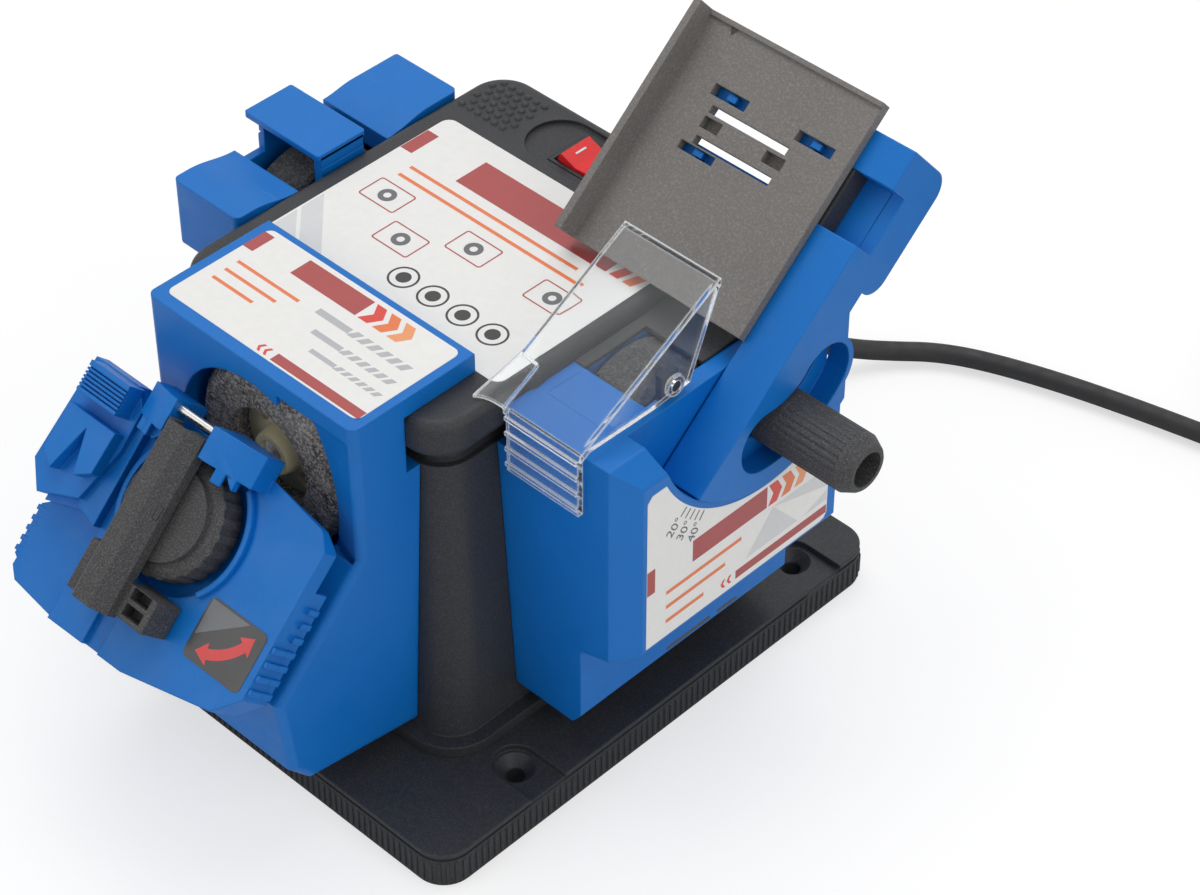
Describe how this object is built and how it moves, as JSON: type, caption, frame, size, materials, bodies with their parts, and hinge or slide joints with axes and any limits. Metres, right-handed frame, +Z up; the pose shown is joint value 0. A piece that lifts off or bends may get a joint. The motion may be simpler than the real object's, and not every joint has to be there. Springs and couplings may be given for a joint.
{
  "type": "drill bit sharpener",
  "caption": "Bench sharpener with a column on a screw-down base, a swinging drill cradle, a tilting chisel table with clear guard, a knife guide and a mains lead.",
  "frame": {"origin": "centre of the four bench screw holes, on the underside of the base", "axes": "+Z up, -Y to the front where the drill station is, +X to the chisel station"},
  "size_m": [0.3214, 0.4082, 0.1759],
  "materials": {
    "black_plastic": "satin, fine grain",
    "blue_plastic": "satin",
    "grey_plastic": "grained",
    "clear_plastic": "clear gloss",
    "red_plastic": "gloss",
    "cream_plastic": "satin",
    "grit": "rough bonded abrasive",
    "steel": "turned",
    "zinc": "zinc plated",
    "bronze": "sintered",
    "cord_rubber": "matt",
    "pin_brass": "nickelled"
  },
  "bodies": {
    "frame": {"base_plate": "black_plastic", "column_screws": "steel", "column_housing": "black_plastic", "top_cover": "black_plastic", "switch_body": "black_plastic", "motor_can": "zinc", "motor_end_cap": "zinc", "motor_stator": "steel", "shaft_bushes": "bronze", "gear_bracket": "zinc", "spindle_bushes": "bronze", "drill_unit_housing": "blue_plastic", "cradle_pivot_pin": "steel", "chisel_unit_housing": "blue_plastic", "guard_hinge_post": "blue_plastic", "knife_unit_housing": "blue_plastic", "knife_bridge": "blue_plastic", "strain_relief": "cord_rubber", "mains_lead": "cord_rubber", "lead_coil": "cord_rubber", "coil_tie": "cord_rubber", "plug_body": "cord_rubber", "plug_pins": "pin_brass"},
    "drive": {"motor_shaft": "steel", "chisel_wheel": "grit", "knife_wheel": "grit", "chisel_wheel_nut": "steel", "knife_wheel_nut": "steel", "motor_rotor": "steel", "motor_bevel_gear": "steel"},
    "spindle": {"drill_spindle": "steel", "drill_bevel_gear": "steel", "drill_wheel": "grit", "drill_wheel_hub": "cream_plastic"},
    "cradle": {"drill_cradle": "blue_plastic", "drill_stop_pin": "steel"},
    "holder": {"drill_holder": "black_plastic"},
    "holder_dial": {"holder_knob": "black_plastic"},
    "arm": {"tilt_arm": "blue_plastic"},
    "table": {"chisel_table": "grey_plastic"},
    "clamp": {"clamp_knob": "black_plastic"},
    "guard": {"wheel_guard": "clear_plastic"},
    "rocker": {"switch_rocker": "red_plastic"}
  },
  "joints": [
    {"name": "drive_spin", "type": "hinge", "parent": "frame", "child": "drive", "pos_m": [0, -0.004, 0.094], "axis": [1, 0, 0], "continuous": true},
    {"name": "spindle_spin", "type": "hinge", "parent": "frame", "child": "spindle", "pos_m": [0, -0.04, 0.094], "axis": [0, 1, 0], "continuous": true},
    {"name": "cradle_swing", "type": "hinge", "parent": "frame", "child": "cradle", "pos_m": [-0.008, -0.09547, 0.09293], "axis": [0, -0.7071, 0.7071], "range_deg": [-12, 12]},
    {"name": "holder_slide", "type": "slide", "parent": "cradle", "child": "holder", "axis": [0, 0.7071, 0.7071], "range_m": [-0.003, 0.001]},
    {"name": "dial_turn", "type": "hinge", "parent": "holder", "child": "holder_dial", "pos_m": [-0.004, -0.10184, 0.08656], "axis": [0, -0.7071, 0.7071], "range_deg": [-170, 170]},
    {"name": "arm_tilt", "type": "hinge", "parent": "frame", "child": "arm", "pos_m": [0.085, 0.0114, 0.126], "axis": [1, 0, 0], "range_deg": [-20, 9]},
    {"name": "table_slide", "type": "slide", "parent": "arm", "child": "table", "axis": [1, 0, 0], "range_m": [-0.004, 0.004]},
    {"name": "clamp_turn", "type": "hinge", "parent": "frame", "child": "clamp", "pos_m": [0.1, 0.01753, 0.10228], "axis": [1, 0, 0], "range_deg": [-180, 180]},
    {"name": "guard_lift", "type": "hinge", "parent": "frame", "child": "guard", "pos_m": [0.076, -0.01, 0.123], "axis": [-1, 0, 0], "range_deg": [0, 22]},
    {"name": "switch_tip", "type": "hinge", "parent": "frame", "child": "rocker", "pos_m": [-0.003, 0.042, 0.1195], "axis": [0, 1, 0], "range_deg": [-18, 0]}
  ],
  "couplings": [
    {"joint": "spindle_spin", "follows": "drive_spin", "ratio": 1}
  ]
}
